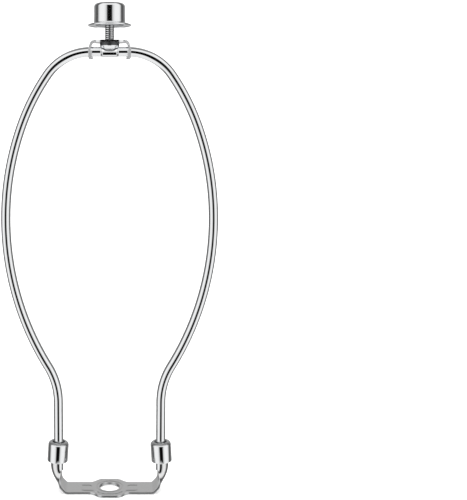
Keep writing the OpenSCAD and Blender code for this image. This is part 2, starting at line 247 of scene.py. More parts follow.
def arc(x, z, r, start, end, steps):
    """Points of an arc round (x, z) from one angle to another, in degrees."""
    angles = [radians(start + (end - start) * i / steps) for i in range(steps + 1)]
    return [(x + r * cos(a), z + r * sin(a)) for a in angles]


def both_halves(right):
    """The rings of the right half, which start in the middle, with their mirror images before them."""
    left = [[(-x, y, z) for x, y, z in ring] for ring in reversed(right)]
    return left + right[1:]


def skin(rings, caps=None):
    """Points and faces of a solid skinned over rings of points, closed by caps at both ends."""
    n = len(rings[0])
    last = len(rings) - 1
    caps = caps or [tuple(range(n))]
    points = [p for ring in rings for p in ring]
    faces = []
    for k in range(last):
        for j in range(n):
            a = k * n + j
            b = k * n + (j + 1) % n
            faces.append((a, b, b + n, a + n))
    faces += [tuple(reversed(cap)) for cap in caps]
    faces += [tuple(last * n + i for i in cap) for cap in caps]
    return points, faces


def lathe(profile, sides=128, closed=True):
    """Points and faces of a profile of (radius, height), turned round the Z axis."""
    n = len(profile)
    points = []
    for k in range(sides):
        turn = 2 * pi * k / sides
        points += [(r * cos(turn), r * sin(turn), z) for r, z in profile]
    faces = []
    for k in range(sides):
        for j in range(n if closed else n - 1):
            a = k * n + j
            b = k * n + (j + 1) % n
            step = n if k < sides - 1 else n - sides * n
            faces.append((a, b, b + step, a + step))
    return points, faces


def new_piece(name, form, materials, merge=True):
    """An object of points and faces. Merging joins points on the axis and turns normals outward."""
    points, faces = form
    mesh = bpy.data.meshes.new(name)
    mesh.from_pydata([Vector(p) for p in points], [], faces)
    if merge:
        work = bmesh.new()
        work.from_mesh(mesh)
        bmesh.ops.remove_doubles(work, verts=work.verts, dist=1e-8)
        bmesh.ops.recalc_face_normals(work, faces=work.faces)
        work.to_mesh(mesh)
        work.free()
    for material in materials:
        mesh.materials.append(material)
    piece = bpy.data.objects.new(name, mesh)
    bpy.context.collection.objects.link(piece)
    return piece


def apply_modifiers(piece):
    bpy.context.view_layer.update()
    depsgraph = bpy.context.evaluated_depsgraph_get()
    old = piece.data
    made = bpy.data.meshes.new_from_object(
        piece.evaluated_get(depsgraph), preserve_all_data_layers=True, depsgraph=depsgraph
    )
    piece.modifiers.clear()
    piece.data = made
    made.name = old.name + "_cut"
    bpy.data.meshes.remove(old)


def cut(piece, tool):
    """Cuts the tool out of the piece and deletes the tool."""
    modifier = piece.modifiers.new("cut", "BOOLEAN")
    modifier.operation = "DIFFERENCE"
    modifier.solver = "EXACT"
    modifier.material_mode = "INDEX"
    modifier.object = tool
    apply_modifiers(piece)
    bpy.data.objects.remove(tool)


def finish_piece(piece, node, body, sharp=35):
    """Shades the piece, stands it for its CAD node, and lets it ride on the node's body."""
    piece.data.shade_smooth()
    piece.data.set_sharp_from_angle(angle=radians(sharp))
    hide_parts(node)
    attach(piece, body)


# Small tools for materials

def add_node(tree, kind, inputs=None, **settings):
    """Adds a node with its settings, and sets or links its inputs."""
    node = tree.nodes.new(kind)
    for name, value in settings.items():
        setattr(node, name, value)
    for name, value in (inputs or {}).items():
        if isinstance(value, bpy.types.NodeSocket):
            tree.links.new(value, node.inputs[name])
        else:
            node.inputs[name].default_value = value
    return node


def mix(tree, factor, a, b, blend="MIX"):
    """The mixture of two colours."""
    inputs = {"Factor": factor, "A": a, "B": b}
    return add_node(tree, "ShaderNodeMix", inputs, data_type="RGBA", blend_type=blend).outputs["Result"]


def new_material(name, base, metallic, roughness):
    """A material with its colour, metallic and roughness on the shader's own sockets."""
    material = bpy.data.materials.new(name)
    material.use_nodes = True
    shader = material.node_tree.nodes["Principled BSDF"]
    shader.inputs["Base Color"].default_value = (*base, 1.0)
    shader.inputs["Metallic"].default_value = metallic
    shader.inputs["Roughness"].default_value = roughness
    material.diffuse_color = (*base, 1.0)
    return material, material.node_tree


def steer(tree, socket, value):
    """Links a value to a socket of the material's shader."""
    tree.links.new(value, tree.nodes["Principled BSDF"].inputs[socket])


def noise(tree, scale, detail, place=None):
    """A noise with so many patches to a metre, or so many each way, at its place on the object."""
    if place is None:
        place = add_node(tree, "ShaderNodeTexCoord").outputs["Object"]
    if isinstance(scale, tuple):
        place = add_node(tree, "ShaderNodeMapping", {"Vector": place, "Scale": scale}).outputs["Vector"]
        scale = 1.0
    inputs = {"Vector": place, "Scale": scale, "Detail": detail}
    return add_node(tree, "ShaderNodeTexNoise", inputs).outputs["Fac"]


def roughen(tree, value, start, end, low, high):
    """Lets the roughness go from low to high while the value goes from start to end."""
    inputs = {"Value": value, "From Min": start, "From Max": end, "To Min": low, "To Max": high}
    steer(tree, "Roughness", add_node(tree, "ShaderNodeMapRange", inputs).outputs["Result"])


def emboss(tree, height, strength, mm):
    """Gives the surface a relief, whose distance is in millimetres."""
    inputs = {"Height": height, "Strength": strength, "Distance": mm * MM}
    steer(tree, "Normal", add_node(tree, "ShaderNodeBump", inputs).outputs["Normal"])


def chrome_on_drawn_wire(finishes):
    """Bright chrome plate on drawn steel wire."""
    # It gives a clear mirror, drawn out along the wire by faint lines that the draw plate left
    material, tree = new_material("chrome_on_drawn_wire", finishes.chrome, 1.0, 0.04)
    # The map is in metres along and round the wire; the lines are 0.2 mm apart and 25 mm long
    along = add_node(tree, "ShaderNodeUVMap", uv_map="along").outputs["UV"]
    roughen(tree, noise(tree, (40, 5000, 1), 2.0, along), 0.35, 0.7, 0.015, 0.045)
    return material


def chrome_on_drawn_steel(finishes):
    """Bright chrome plate on a deep drawn and polished steel shell."""
    # It gives a clear mirror with a very faint haze, in patches of 4 mm, where the buffing wheel ran
    material, tree = new_material("chrome_on_drawn_steel", finishes.chrome, 1.0, 0.045)
    roughen(tree, noise(tree, 250.0, 3.0), 0.35, 0.7, 0.035, 0.07)
    return material


def chrome_on_drawn_shoulder(finishes):
    """Chrome plate on the drawn shoulder of a sleeve, greyer and duller than the sleeve's side."""
    # It gives a soft grey sheen with draw marks 0.4 mm apart, where the die stretched the steel
    # Its colour is the sheared edge's grey, darker than the side's chrome
    material, tree = new_material("chrome_on_drawn_shoulder", finishes.sheared, 1.0, 0.3)
    roughen(tree, noise(tree, 2500.0, 2.0), 0.3, 0.7, 0.24, 0.36)
    return material


def chrome_on_stamped_steel(finishes):
    """Chrome plate on stamped steel strip that wasn't polished first."""
    # It gives a mirror softened by a grain of 0.3 mm, coarser than real rolled steel's so that it shows
    material, tree = new_material("chrome_on_stamped_steel", finishes.chrome, 1.0, 0.1)
    emboss(tree, noise(tree, 3300.0, 2.0), 0.05, 0.02)
    return material


def chrome_on_sheared_edge(finishes):
    """Chrome plate on the edge that the stamping die sheared."""
    # It gives a blurred shine, greyer than the strip's faces, with scratches 0.2 mm apart
    material, tree = new_material("chrome_on_sheared_edge", finishes.chrome, 1.0, 0.5)
    emboss(tree, noise(tree, 5000.0, 2.0), 0.1, 0.02)
    return material


def chrome_thread_painted_root_shade(finishes, stud):
    """Chrome plate on a rolled thread, with shade painted into its roots."""
    # The crests are bright chrome; down in the roots the colour is painted shade, near black, and the
    # roughness is higher
    material, tree = new_material("chrome_thread_painted_root_shade", finishes.chrome, 1.0, 0.12)
    place = add_node(tree, "ShaderNodeTexCoord").outputs["Object"]
    flat = add_node(tree, "ShaderNodeVectorMath", {0: place, 1: (1, 1, 0)}, operation="MULTIPLY")
    radius = add_node(tree, "ShaderNodeVectorMath", {0: flat.outputs["Vector"]}, operation="LENGTH")
    crest_r = stud.diameter / 2
    crest = add_node(tree, "ShaderNodeMapRange", {
        "Value": radius.outputs["Value"], "From Min": crest_r - stud.thread_depth / 4, "From Max": crest_r,
    }).outputs["Result"]
    # Painted shade: near black deeper than a quarter of the thread's depth, fading to chrome at the crests
    steer(tree, "Base Color", mix(tree, crest, (*finishes.root, 1.0), (*finishes.chrome, 1.0)))
    roughen(tree, crest, 0.0, 1.0, 0.3, 0.03)
    return material


def dark_dull_head_band(finishes):
    """A dark, dull band round the top of the stud's head, just under the clip's plate."""
    # It gives a dark and dull band under the clip, with pits 0.5 mm apart
    material, tree = new_material("dark_dull_head_band", finishes.scale, 1.0, 0.4)
    emboss(tree, noise(tree, 2000.0, 3.0), 0.4, 0.05)
    return material


def nickel_on_stamped_steel(finishes):
    """Satin nickel plate on stamped steel strip."""
    # It gives an even grey sheen, with the strip's faint rolling lines, 0.25 mm apart and 10 mm long
    material, tree = new_material("nickel_on_stamped_steel", finishes.nickel, 1.0, 0.15)
    lines = noise(tree, (100, 4000, 4000), 3.0)
    roughen(tree, lines, 0.3, 0.7, 0.07, 0.12)
    emboss(tree, lines, 0.12, 0.02)
    return material


def nickel_on_sheared_edge(finishes):
    """Nickel plate on the edge that the stamping die sheared."""
    # It is darker than the strip's faces, with upright scratches, 0.2 mm apart and 2 mm long
    material, tree = new_material("nickel_on_sheared_edge", finishes.sheared, 1.0, 0.32)
    emboss(tree, noise(tree, (5000, 5000, 500), 2.0), 0.3, 0.03)
    return material


def turned_steel(finishes):
    """Plated steel, turned on a lathe."""
    # It gives a satin face with rings 0.35 mm apart round the bore, coarser than real so that they show
    material, tree = new_material("turned_steel", finishes.turned, 1.0, 0.28)
    place = add_node(tree, "ShaderNodeTexCoord")
    inputs = {"Vector": place.outputs["Object"], "Scale": 900.0, "Distortion": 0.0}
    rings = add_node(tree, "ShaderNodeTexWave", inputs, wave_type="RINGS", rings_direction="Z")
    emboss(tree, rings.outputs["Fac"], 0.2, 0.02)
    return material


# The wire

def bend(start, radius, turn, side):
    """Where a bend ends: (x, z, heading). Side 1 turns clockwise, seen from the front, and -1 back."""
    x, z, heading = start
    centre_x = x + side * radius * sin(heading)
    centre_z = z - side * radius * cos(heading)
    heading -= side * turn
    return (
        centre_x - side * radius * sin(heading),
        centre_z + side * radius * cos(heading),
        heading,
    )


def bent(start, radius, turn, side, steps):
    """The points of a bend, without its start."""
    return [bend(start, radius, turn * k / steps, side) for k in range(1, steps + 1)]


def wire_levels(scene):
    """Heights of the wire's middle at its top, of the clip's underside and of the shade's seat."""
    seat_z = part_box("top_clip")[1].z
    under_z = seat_z - scene.harp_clip.thickness
    wire = scene.harp_wire
    top_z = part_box("harp_wire")[1].z - wire.diameter / 2
    return top_z, under_z, seat_z


def wire_bends(wire, top_z):
    """The wire's bends from the top down: two of the radii are worked out so that it ends on its leg."""
    turned_1 = wire.shoulder_angle
    turned_2 = turned_1 + wire.upper_angle
    turned_3 = turned_2 + wire.side_angle
    neck = wire.neck_angle
    go_x = (
        wire.leg_x - wire.top_half - wire.shoulder_r * sin(turned_1)
        - wire.upper_r * (sin(turned_2) - sin(turned_1)) + wire.neck_r * (1 - cos(neck))
    )
    go_z = (
        top_z - wire.leg_top_z - wire.shoulder_r * (1 - cos(turned_1))
        - wire.upper_r * (cos(turned_1) - cos(turned_2)) - wire.neck_r * sin(neck)
    )
    side_x = sin(turned_3) - sin(turned_2)
    side_z = cos(turned_2) - cos(turned_3)
    lower_x = cos(neck) - sin(turned_3)
    lower_z = cos(turned_3) + sin(neck)
    both = side_x * lower_z - lower_x * side_z
    side_r = (go_x * lower_z - go_z * lower_x) / both
    lower_r = (go_z * side_x - go_x * side_z) / both
    return [
        (wire.shoulder_r, wire.shoulder_angle, 1),
        (wire.upper_r, wire.upper_angle, 1),
        (side_r, wire.side_angle, 1),
        (lower_r, pi / 2 + neck - turned_3, 1),
        (wire.neck_r, neck, -1),
    ]


def wire_line(wire, top_z, end_z):
    """The wire's centre line from the middle of the top to the leg's tip: (x, z, heading, tip)."""
    blend_x = wire.seat_l / 2 + wire.seat_blend
    steps = 16
    line = [(0.0, top_z, 0.0)]
    line += [(wire.seat_l / 2 + wire.seat_blend * k / steps, top_z, 0.0) for k in range(steps + 1)]
    line += [((blend_x + wire.top_half) / 2, top_z, 0.0), (wire.top_half, top_z, 0.0)]
    for radius, turn, side in wire_bends(wire, top_z):
        line += bent(line[-1], radius, turn, side, ceil(radius * turn / wire.ring_gap))
    down = -pi / 2
    leg_z = line[-1][1]
    leg_l = leg_z - end_z - wire.tip_h
    steps = ceil(leg_l / wire.ring_gap)
    line += [(wire.leg_x, leg_z - leg_l * k / steps, down) for k in range(1, steps + 1)]
    return [(*p, False) for p in line] + [(wire.leg_x, end_z, down, True)]


def wire_ring(wire, p):
    """One section of the wire: round, but flat with round edges on the seat, and small at the tip."""
    x, z, heading, tip = p
    wire_r = wire.diameter / 2
    flat = 1 - smooth((x - wire.seat_l / 2) / wire.seat_blend) if heading == 0 else 0.0
    r = wire_r - wire.tip_h if tip else wire_r + (wire.seat_t / 2 - wire_r) * flat
    flat_y = (wire.seat_w / 2 - wire.seat_t / 2) * flat
    drop = (wire_r - wire.seat_t / 2) * flat
    power = 1 - wire.seat_square * flat
    ring = []
    for k in range(wire.sides):
        a = 2 * pi * (k + 0.5) / wire.sides
        y = copysign(r * abs(cos(a)) ** power + flat_y, cos(a))
        n = copysign(r * abs(sin(a)) ** power, sin(a)) - drop
        ring.append((x - n * sin(heading), y, z + n * cos(heading)))
    return ring


def map_along(mesh, rings, circumference):
    """Adds the map of the distance along and round a skinned wire, in metres."""
    n = len(rings[0])
    along = [0.0]
    for a, b in zip(rings, rings[1:]):
        along.append(along[-1] + (Vector(b[0]) - Vector(a[0])).length)
    layer = mesh.uv_layers.new(name="along")
    for face in mesh.polygons:
        sides = [mesh.loops[i].vertex_index for i in face.loop_indices]
        wraps = len(sides) == 4 and {v % n for v in sides} == {0, n - 1}
        for loop, v in zip(face.loop_indices, sides):
            turn = n if wraps and v % n == 0 else v % n
            layer.data[loop].uv = (along[v // n], circumference * turn / n)


class HARP_OT_wire(bpy.types.Operator):
    """Bends the harp wire from one rod, with its flattened seat at the top"""
    bl_idname = "lamp_harp.wire"
    bl_label = "Harp wire"

    def execute(self, context):
        wire = context.scene.harp_wire
        top_z = wire_levels(context.scene)[0]
        end_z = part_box("harp_wire")[0].z
        rings = both_halves([wire_ring(wire, p) for p in wire_line(wire, top_z, end_z)])
        materials = [chrome_on_drawn_wire(context.scene.harp_finishes)]
        rod = new_piece("wire_rod", skin(rings), materials, merge=False)
        map_along(rod.data, rings, pi * wire.diameter)
        finish_piece(rod, "harp_wire", "harp")
        return {"FINISHED"}


# The saddle

class SaddleForm:
    """The saddle's strip as a sheet: along, across and through it, to places in the harp's frame."""

    def __init__(self, saddle, wire):
        self.s = saddle
        rise = saddle.arm_angle
        sweep = pi / 2 - rise
        self.trough_r = wire.diameter / 2 + saddle.trough_gap + saddle.strip_t / 2
        self.trough_w = 2 * self.trough_r * saddle.trough_wrap
        arm_x = wire.leg_x + self.trough_r
        rise_x = saddle.arm_l * cos(rise)
        sweep_x = saddle.arm_sweep_r * (1 - sin(rise))
        self.flat_half = arm_x - saddle.arm_bend_r * sin(rise) - rise_x - sweep_x
        # Where the flat, the lower bend, the straight rise and the upper bend end
        self.flat_end = (self.flat_half, saddle.strip_t / 2, 0.0)
        self.bend_end = bend(self.flat_end, saddle.arm_bend_r, rise, -1)
        self.rise_end = (self.bend_end[0] + rise_x, self.bend_end[1] + saddle.arm_l * sin(rise), rise)
        self.sweep_end = bend(self.rise_end, saddle.arm_sweep_r, sweep, -1)
        # The lengths along the arm to those places, and to the trough's top
        self.bend_s = saddle.arm_bend_r * rise
        self.rise_s = self.bend_s + saddle.arm_l
        self.sweep_s = self.rise_s + saddle.arm_sweep_r * sweep
        self.arm_s = self.sweep_s + saddle.trough_top_z - self.sweep_end[1]

    def middle(self, along):
        """The middle of the strip at the length along an arm: (x, z, heading)."""
        s = self.s
        if along < 0:
            return self.flat_half + along, s.strip_t / 2, 0.0
        if along < self.bend_s:
            return bend(self.flat_end, s.arm_bend_r, along / s.arm_bend_r, -1)
        if along < self.rise_s:
            x, z, heading = self.bend_end
            on = along - self.bend_s
            return x + on * cos(heading), z + on * sin(heading), heading
        if along < self.sweep_s:
            return bend(self.rise_end, s.arm_sweep_r, (along - self.rise_s) / s.arm_sweep_r, -1)
        x, z, heading = self.sweep_end
        return x, z + along - self.sweep_s, heading

    def rolled(self, along):
        """How far the strip has rolled up, from 0 where it is flat to 1 in the trough."""
        start = self.bend_s + self.s.arm_l / 2
        return smooth((along - start) / (self.sweep_s - self.s.rolled_l - start))

    def eye_width(self, x):
        """Width of the flat strip at the distance x from the hole, with its corners blended."""
        s = self.s
        t = (x - s.eye_flat) / (s.eye_half - s.eye_flat)
        if t < -s.eye_near:
            t = 0.0
        elif t < s.eye_near:
            t = (t + s.eye_near) ** 2 / (4 * s.eye_near)
        elif t > 1 + s.eye_far:
            t = 1.0
        elif t > 1 - s.eye_far:
            t = 1 - (1 + s.eye_far - t) ** 2 / (4 * s.eye_far)
        return s.eye_w + (s.strip_w - s.eye_w) * t

    def width(self, along):
        if along < 0:
            return self.eye_width(self.flat_half + along)
        return self.s.strip_w + (self.trough_w - self.s.strip_w) * self.rolled(along)

    def rib(self, x, y):
        """Share of the rib's full height at a place on the flat."""
        s = self.s
        x, y = abs(x), abs(y)
        in_x = s.rib_half - x
        in_y = self.eye_width(x + s.rib_margin / 2) / 2 - s.rib_margin - y
        corner = s.rib_corner_r
        depth = min(in_x, in_y)
        if in_x < corner and in_y < corner:
            depth = corner - hypot(corner - in_x, corner - in_y)
        slot_r = s.slot_w / 2
        from_slot = hypot(min(0.0, x - s.slot_x - slot_r), y) - slot_r
        return smooth(min(depth, from_slot) / s.rib_wall + 0.5)

    def place(self, along, across, through):
        """A point of the sheet. Across is in metres, and through is positive toward the outer face."""
        x, z, heading = self.middle(along)
        rolled = self.rolled(along)
        if rolled > 0:
            half_angle = self.s.trough_wrap * rolled
            half_w = self.width(along) / 2
            r = half_w / half_angle
            a = half_angle * across / half_w
            n = r - (r + through) * cos(a)
            y = (r + through) * sin(a)
        else:
            n = -through
            y = across
        return x - n * sin(heading), y, z + n * cos(heading)

    def ring(self, along):
        """The strip's outline at the length along, with round edges, and the rib pressed up in the flat."""
        s = self.s
        half_w = self.width(along) / 2
        half_t = s.strip_t / 2
        e = s.edge_r
        corner = arc(half_w - e, half_t - e, e, 90, 0, 2)
        straight = [(half_w - e) * (2 * j / s.across - 1) for j in range(1, s.across)]
        across = [-c[0] for c in reversed(corner)] + straight + [c[0] for c in corner]
        depth = [c[1] for c in reversed(corner)] + [half_t] * len(straight) + [c[1] for c in corner]
        outer = []
        inner = []
        for y, t in zip(across, depth):
            x = self.flat_half + along
            lift = self.rib(x, y) * s.rib_h if along < 0 else 0.0
            # The nut's seat under the hole stays flat, and the rest of the rib is hollow underneath
            from_groove = hypot(x, y) - s.groove_d / 2
            hollow = lift * smooth(from_groove / s.rib_wall - 0.5)
            groove = s.groove_depth * (1 - smooth(2 * abs(from_groove) / s.groove_w)) if along < 0 else 0.0
            outer.append(self.place(along, y, t - hollow))
            inner.append(self.place(along, y, -t - lift + groove))
        return outer + inner[::-1]


def hole_cutter(saddle, materials, sides=128):
    """The nipple hole with its broken edges, as a piece to cut away. Its upright wall is sheared."""
    hole_r = saddle.hole_d / 2
    wide_r = hole_r + saddle.edge_r
    top_z = saddle.strip_t + saddle.rib_h
    profile = [
        (0.0, -PAST), (wide_r, -PAST), (wide_r, 0.0), (hole_r, saddle.edge_r),
        (hole_r, top_z - saddle.edge_r), (wide_r, top_z), (wide_r, top_z + PAST), (0.0, top_z + PAST),
    ]
    tool = new_piece("hole_cutter", lathe(profile, sides, closed=False), materials)
    for face in tool.data.polygons:
        from_axis = hypot(face.center.x, face.center.y)
        upright = abs(face.normal.z) < 0.1
        face.material_index = 1 if upright and from_axis < (hole_r + wide_r) / 2 else 0
    return tool


class HARP_OT_saddle(bpy.types.Operator):
    """Stamps the saddle: its eye, hole and rib, and the arms that roll up into troughs"""
    bl_idname = "lamp_harp.saddle"
    bl_label = "Saddle"

    def execute(self, context):
        saddle = context.scene.harp_saddle
        form = SaddleForm(saddle, context.scene.harp_wire)
        flat_rings = ceil(form.flat_half / saddle.cell)
        places = [-form.flat_half * (1 - k / flat_rings) for k in range(flat_rings + 1)]
        arm_l = form.arm_s - saddle.edge_r
        places += [arm_l * k / saddle.arm_rings for k in range(1, saddle.arm_rings + 1)]
        places.append(form.arm_s)
        rings = both_halves([form.ring(along) for along in places])
        n = len(rings[0])
        caps = [(j, j + 1, n - 2 - j, n - 1 - j) for j in range(n // 2 - 1)]
        finishes = context.scene.harp_finishes
        materials = [nickel_on_stamped_steel(finishes), nickel_on_sheared_edge(finishes)]
        plate = new_piece("saddle_plate", skin(rings, caps), materials)
        # The sheared faces are the two long sides and the ends of the troughs
        sides = {n // 2 - 1, n - 1}
        first_cap = len(plate.data.polygons) - 2 * len(caps)
        for i, face in enumerate(plate.data.polygons):
            if i >= first_cap or i % n in sides:
                face.material_index = 1
        cut(plate, hole_cutter(saddle, materials))
        finish_piece(plate, "saddle", "saddle", sharp=50)
        return {"FINISHED"}


# The sleeves

EDGE_STEPS = 4
SHOULDER_STEPS = 12


def sleeve_profile(sleeve, hole_r):
    """The wall of a sleeve, closed at its top but for the wire's hole: (radius, height)."""
    r = sleeve.diameter / 2
    h = sleeve.height
    inner_r = r - sleeve.wall
    e = sleeve.edge_r
    big = sleeve.round_r
    small = big - sleeve.wall
    under = h - sleeve.wall
    profile = arc(r - e, e, e, -90, 0, EDGE_STEPS)
    profile += arc(r - big, h - big, big, 0, 90, SHOULDER_STEPS)
    profile += arc(hole_r + e, h - e, e, 90, 180, EDGE_STEPS)
    profile += arc(hole_r + e, under + e, e, 180, 270, EDGE_STEPS)
    profile += arc(inner_r - small, under - small, small, 90, 0, 8)
    profile += arc(inner_r + e, e, e, 180, 270, EDGE_STEPS)
    return profile


class HARP_OT_sleeves(bpy.types.Operator):
    """Draws the two locking sleeves, each tilted as it hangs on its trough"""
    bl_idname = "lamp_harp.sleeves"
    bl_label = "Locking sleeves"

    def execute(self, context):
        scene = context.scene
        sleeve = scene.harp_sleeve
        saddle = scene.harp_saddle
        form = SaddleForm(saddle, scene.harp_wire)
        hole_r = scene.harp_wire.diameter / 2 + sleeve.hole_gap
        shoulder_z = saddle.trough_top_z + sleeve.seat_gap + form.trough_r * sin(sleeve.tilt)
        finishes = scene.harp_finishes
        materials = [chrome_on_drawn_steel(finishes), chrome_on_drawn_shoulder(finishes)]
        profile = sleeve_profile(sleeve, hole_r)
        points, faces = lathe(profile)
        # The dull shoulder starts a third of the way round its bend and ends on the hole's edge
        start = EDGE_STEPS + 1 + SHOULDER_STEPS // 3
        shoulder = range(start, EDGE_STEPS + 1 + SHOULDER_STEPS + 2)
        for side, name in ((-1, "left"), (1, "right")):
            turn = Euler((0, -side * sleeve.tilt, 0)).to_matrix()
            at = Vector((side * scene.harp_wire.leg_x, 0, shoulder_z))
            drop = Vector((0, 0, sleeve.wall - sleeve.height))
            placed = [turn @ (Vector(p) + drop) + at for p in points]
            shell = new_piece("sleeve_shell_" + name, (placed, faces), materials)
            for i, face in enumerate(shell.data.polygons):
                face.material_index = 1 if i % len(profile) in shoulder else 0
            finish_piece(shell, "sleeve_" + name, name + "_sleeve")
        return {"FINISHED"}


# The clip

def clip_outline(clip, top_z, seat_z):
    """The clip's outline seen from the front: its plate, leaning ears, and their hems with small feet."""
    half_t = clip.thickness / 2
    first = pi / 2 - clip.lean
    out_x = clip.width / 2
    lean_x = clip.lean_l * cos(first)
    bends_x = clip.bend_r * sin(first) + clip.ear_bend_r * (1 - sin(first))
    path = [(0.0, seat_z - half_t, 0.0), (out_x - half_t - lean_x - bends_x, seat_z - half_t, 0.0)]
    path += bent(path[-1], clip.bend_r, first, 1, 8)
    x, z, heading = path[-1]
    path.append((x + lean_x, z - clip.lean_l * sin(first), heading))
    path += bent(path[-1], clip.ear_bend_r, clip.lean, 1, 8)
    outer = [(x - sin(h) * half_t, z + cos(h) * half_t) for x, z, h in path]
    inner = [(x + sin(h) * half_t, z - cos(h) * half_t) for x, z, h in path]
    hem_x = out_x - clip.ear_t
    hem_z = top_z + clip.hem_h
    foot_x = out_x - clip.foot_l
    bottom_z = top_z - clip.ear_drop
    e = clip.foot_edge
    # The foot's outer corner is twice as round as its inner one
    foot_z = bottom_z + 2 * e
    ear = arc(out_x - 2 * e, foot_z, 2 * e, 0, -90, 6)
    ear += arc(foot_x + e, bottom_z + e, e, -90, -180, 4)
    ear += [(foot_x, foot_z), (hem_x, foot_z + hem_x - foot_x)]
    ear += [(hem_x, hem_z - (clip.ear_t - clip.thickness)), (out_x - clip.thickness, hem_z)]
    right = outer + ear + inner[::-1]
    return right + [(-x, z) for x, z in right[-2:0:-1]]


def slot_cutter(clip, wire, top_z):
    """The passage for the wire through both ears: round above and open below."""
    r = wire.diameter / 2 + clip.slot_gap
    below = top_z - clip.ear_drop - PAST
    outline = [(-r, below)] + [(-y, z) for y, z in arc(0, top_z, r, 0, 180, 24)] + [(r, below)]
    return skin([[(x, y, z) for y, z in outline] for x in (-clip.width, clip.width)])


def side_cutter(clip, side):
    """What is cut away outside the plate's rounded corner and the ears, on one side, front or back."""
    centre_y = clip.depth / 2 - clip.corner_r
    end = degrees(asin((clip.ear_w / 2 - centre_y) / clip.corner_r))
    corner = arc(clip.front_half, centre_y, clip.corner_r, 90, end, 12)
    right = corner + [(clip.width, clip.ear_w / 2), (clip.width, clip.depth)]
    outline = right + [(-x, y) for x, y in reversed(right)]
    low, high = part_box("top_clip")
    return skin([[(x, side * y, z) for x, y in outline] for z in (low.z - PAST, high.z + PAST)])


def stud_hole_cutter(stud, under_z, seat_z):
    """The round hole in the plate for the stud."""
    r = stud.diameter / 2 + stud.hole_gap
    low = under_z - PAST
    high = seat_z + PAST
    return lathe([(0.0, low), (r, low), (r, high), (0.0, high)], 96, closed=False)


class HARP_OT_clip(bpy.types.Operator):
    """Stamps and bends the clip that straps the stud to the wire"""
    bl_idname = "lamp_harp.clip"
    bl_label = "Shade clip"

    def execute(self, context):
        scene = context.scene
        clip = scene.harp_clip
        top_z, under_z, seat_z = wire_levels(scene)
        outline = clip_outline(clip, top_z, seat_z)
        rings = [[(x, y, z) for x, z in outline] for y in (-clip.depth / 2, clip.depth / 2)]
        finishes = scene.harp_finishes
        materials = [chrome_on_stamped_steel(finishes), chrome_on_sheared_edge(finishes)]
        strap = new_piece("clip_strap", skin(rings), materials)
        tools = [
            slot_cutter(clip, scene.harp_wire, top_z), side_cutter(clip, -1), side_cutter(clip, 1),
            stud_hole_cutter(scene.harp_stud, under_z, seat_z),
        ]
        for tool in tools:
            cut(strap, new_piece("clip_cutter", tool, materials))
        # The ears' front and back edges stay as the die sheared them, and the plate's were rolled bright
        for face in strap.data.polygons:
            front_or_back = abs(face.normal.y) > 0.9
            face.material_index = 1 if front_or_back and face.center.z < under_z else 0
        edges = strap.modifiers.new("broken_edges", "BEVEL")
        edges.width = clip.edge_r
        edges.segments = 3
        edges.limit_method = "ANGLE"
        edges.angle_limit = radians(40)
        apply_modifiers(strap)
        finish_piece(strap, "top_clip", "harp")
        return {"FINISHED"}


# The stud

def thread_rings(stud, start_z, end_z):
    """The rings of a threaded rod, whose chamfered end is at the top."""
    count = ceil((end_z - start_z) / stud.pitch * stud.steps)
    crest_r = stud.diameter / 2
    rings = []
    for i in range(count + 1):
        z = start_z + (end_z - start_z) * i / count
        limit = crest_r - max(0.0, z - (end_z - stud.chamfer))
        ring = []
        for k in range(stud.sides):
            part = (z / stud.pitch - k / stud.sides) % 1.0
            deep = min(1.0, max(0.0, (abs(2 * part - 1) - stud.crest) / stud.flanks))
            r = min(limit, crest_r - stud.thread_depth * deep)
            a = 2 * pi * k / stud.sides
            ring.append((r * cos(a), r * sin(a), z))
        rings.append(ring)
    return rings


def head_profile(stud, bottom_z, under_z):
    """Half the section of the stud's head: (radius, height)."""
    edge_r = stud.head_d / 2
    flat_r = stud.head_flat_d / 2
    rise = under_z - stud.band_h - bottom_z
    profile = [(0.0, bottom_z)]
    # The flank bulges a little between the flat's edge and the band
    steps = 16
    for k in range(steps + 1):
        t = k / steps
        bulge = stud.bulge * 4 * t * (1 - t)
        profile.append((flat_r + (edge_r - flat_r) * t + bulge, bottom_z + rise * t - bulge))
    return profile + [(edge_r, under_z), (0.0, under_z)]


class HARP_OT_stud(bpy.types.Operator):
    """Forms the threaded stud with its round head"""
    bl_idname = "lamp_harp.stud"
    bl_label = "Stud"

    def execute(self, context):
        scene = context.scene
        stud = scene.harp_stud
        under_z = wire_levels(scene)[1]
        bottom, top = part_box("stud")
        points, faces = lathe(head_profile(stud, bottom.z, under_z), 96, closed=False)
        rod_points, rod_faces = skin(thread_rings(stud, under_z - stud.rod_in, top.z))
        first = len(points)
        faces += [tuple(first + i for i in face) for face in rod_faces]
        finishes = scene.harp_finishes
        materials = [chrome_thread_painted_root_shade(finishes, stud), chrome_on_drawn_steel(finishes)]
        materials.append(dark_dull_head_band(finishes))
        piece = new_piece("threaded_stud", (points + rod_points, faces), materials)
        band_z = under_z - stud.band_h
        # The band just under the clip's plate gets the dark, dull material
        for face in piece.data.polygons:
            if face.center.z < under_z:
                face.material_index = 2 if face.center.z > band_z else 1
        finish_piece(piece, "stud", "harp", sharp=60)
        return {"FINISHED"}


# The finial

